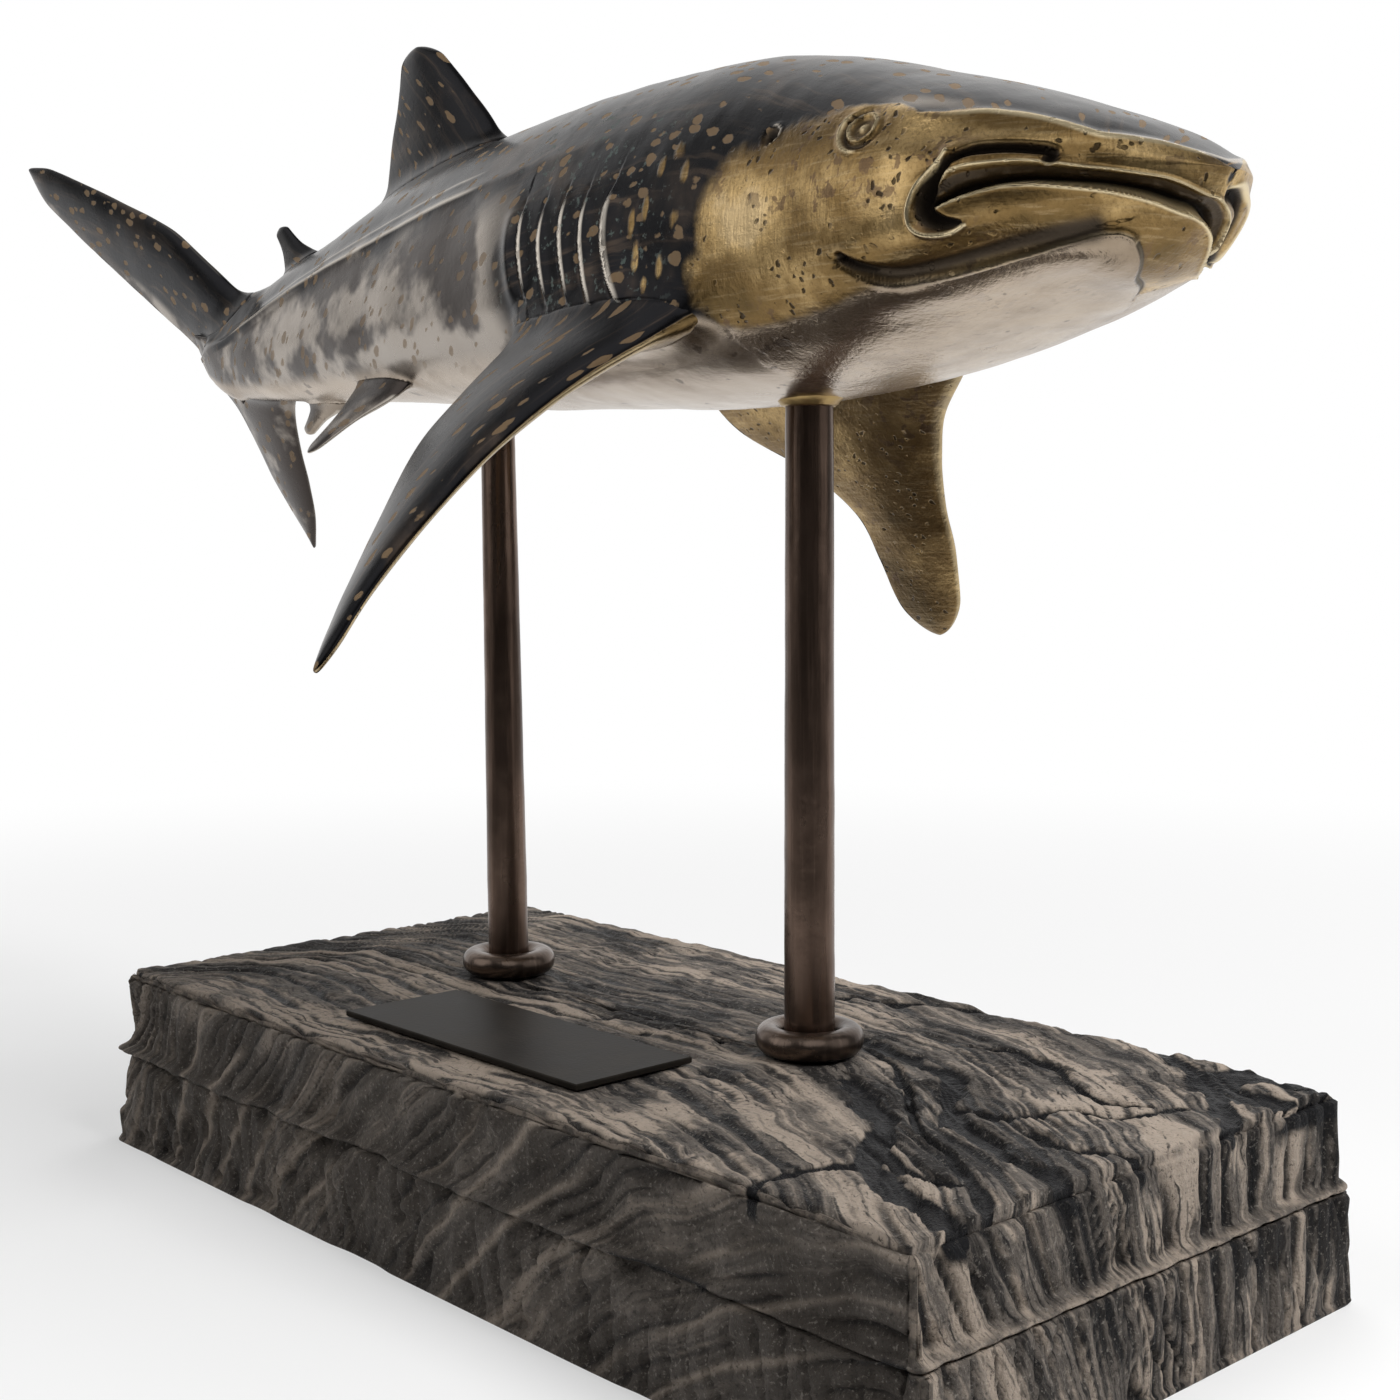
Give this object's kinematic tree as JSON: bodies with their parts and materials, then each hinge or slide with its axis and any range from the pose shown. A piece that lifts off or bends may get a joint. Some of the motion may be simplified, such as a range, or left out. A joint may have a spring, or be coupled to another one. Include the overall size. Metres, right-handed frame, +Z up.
{
  "type": "shark figurine",
  "caption": "Cast bronze whale shark held on upright rods with foot rings over a stepped, carved stone base that carries a small bare plate.",
  "frame": {"origin": "middle of the stone base's flat underside", "axes": "+Z up, +X along the base toward the shark's head, -Y toward the long side of the base that carries the plate"},
  "size_m": [0.4037, 0.1625, 0.2592],
  "materials": {
    "shark_body": "cast bronze, dark patina on the back and fins, rubbed to bright golden metal on the head and belly",
    "stone_base": "carved grey stone with black veins, rough chiselled sides and top",
    "front_rod": "dark brown bronze, satin",
    "rear_rod": "dark brown bronze, satin",
    "front_ring": "dark brown bronze, satin",
    "rear_ring": "dark brown bronze, satin",
    "name_plate": "nearly black bronze, satin, bare",
    "front_washer": "zinc plated steel",
    "rear_washer": "zinc plated steel",
    "front_nut": "zinc plated steel",
    "rear_nut": "zinc plated steel"
  },
  "bodies": {
    "root": {"shark_body": "shark_body", "stone_base": "stone_base", "front_rod": "front_rod", "rear_rod": "rear_rod", "front_ring": "front_ring", "rear_ring": "rear_ring", "name_plate": "name_plate", "front_washer": "front_washer", "rear_washer": "rear_washer", "front_nut": "front_nut", "rear_nut": "rear_nut"}
  },
  "joints": []
}
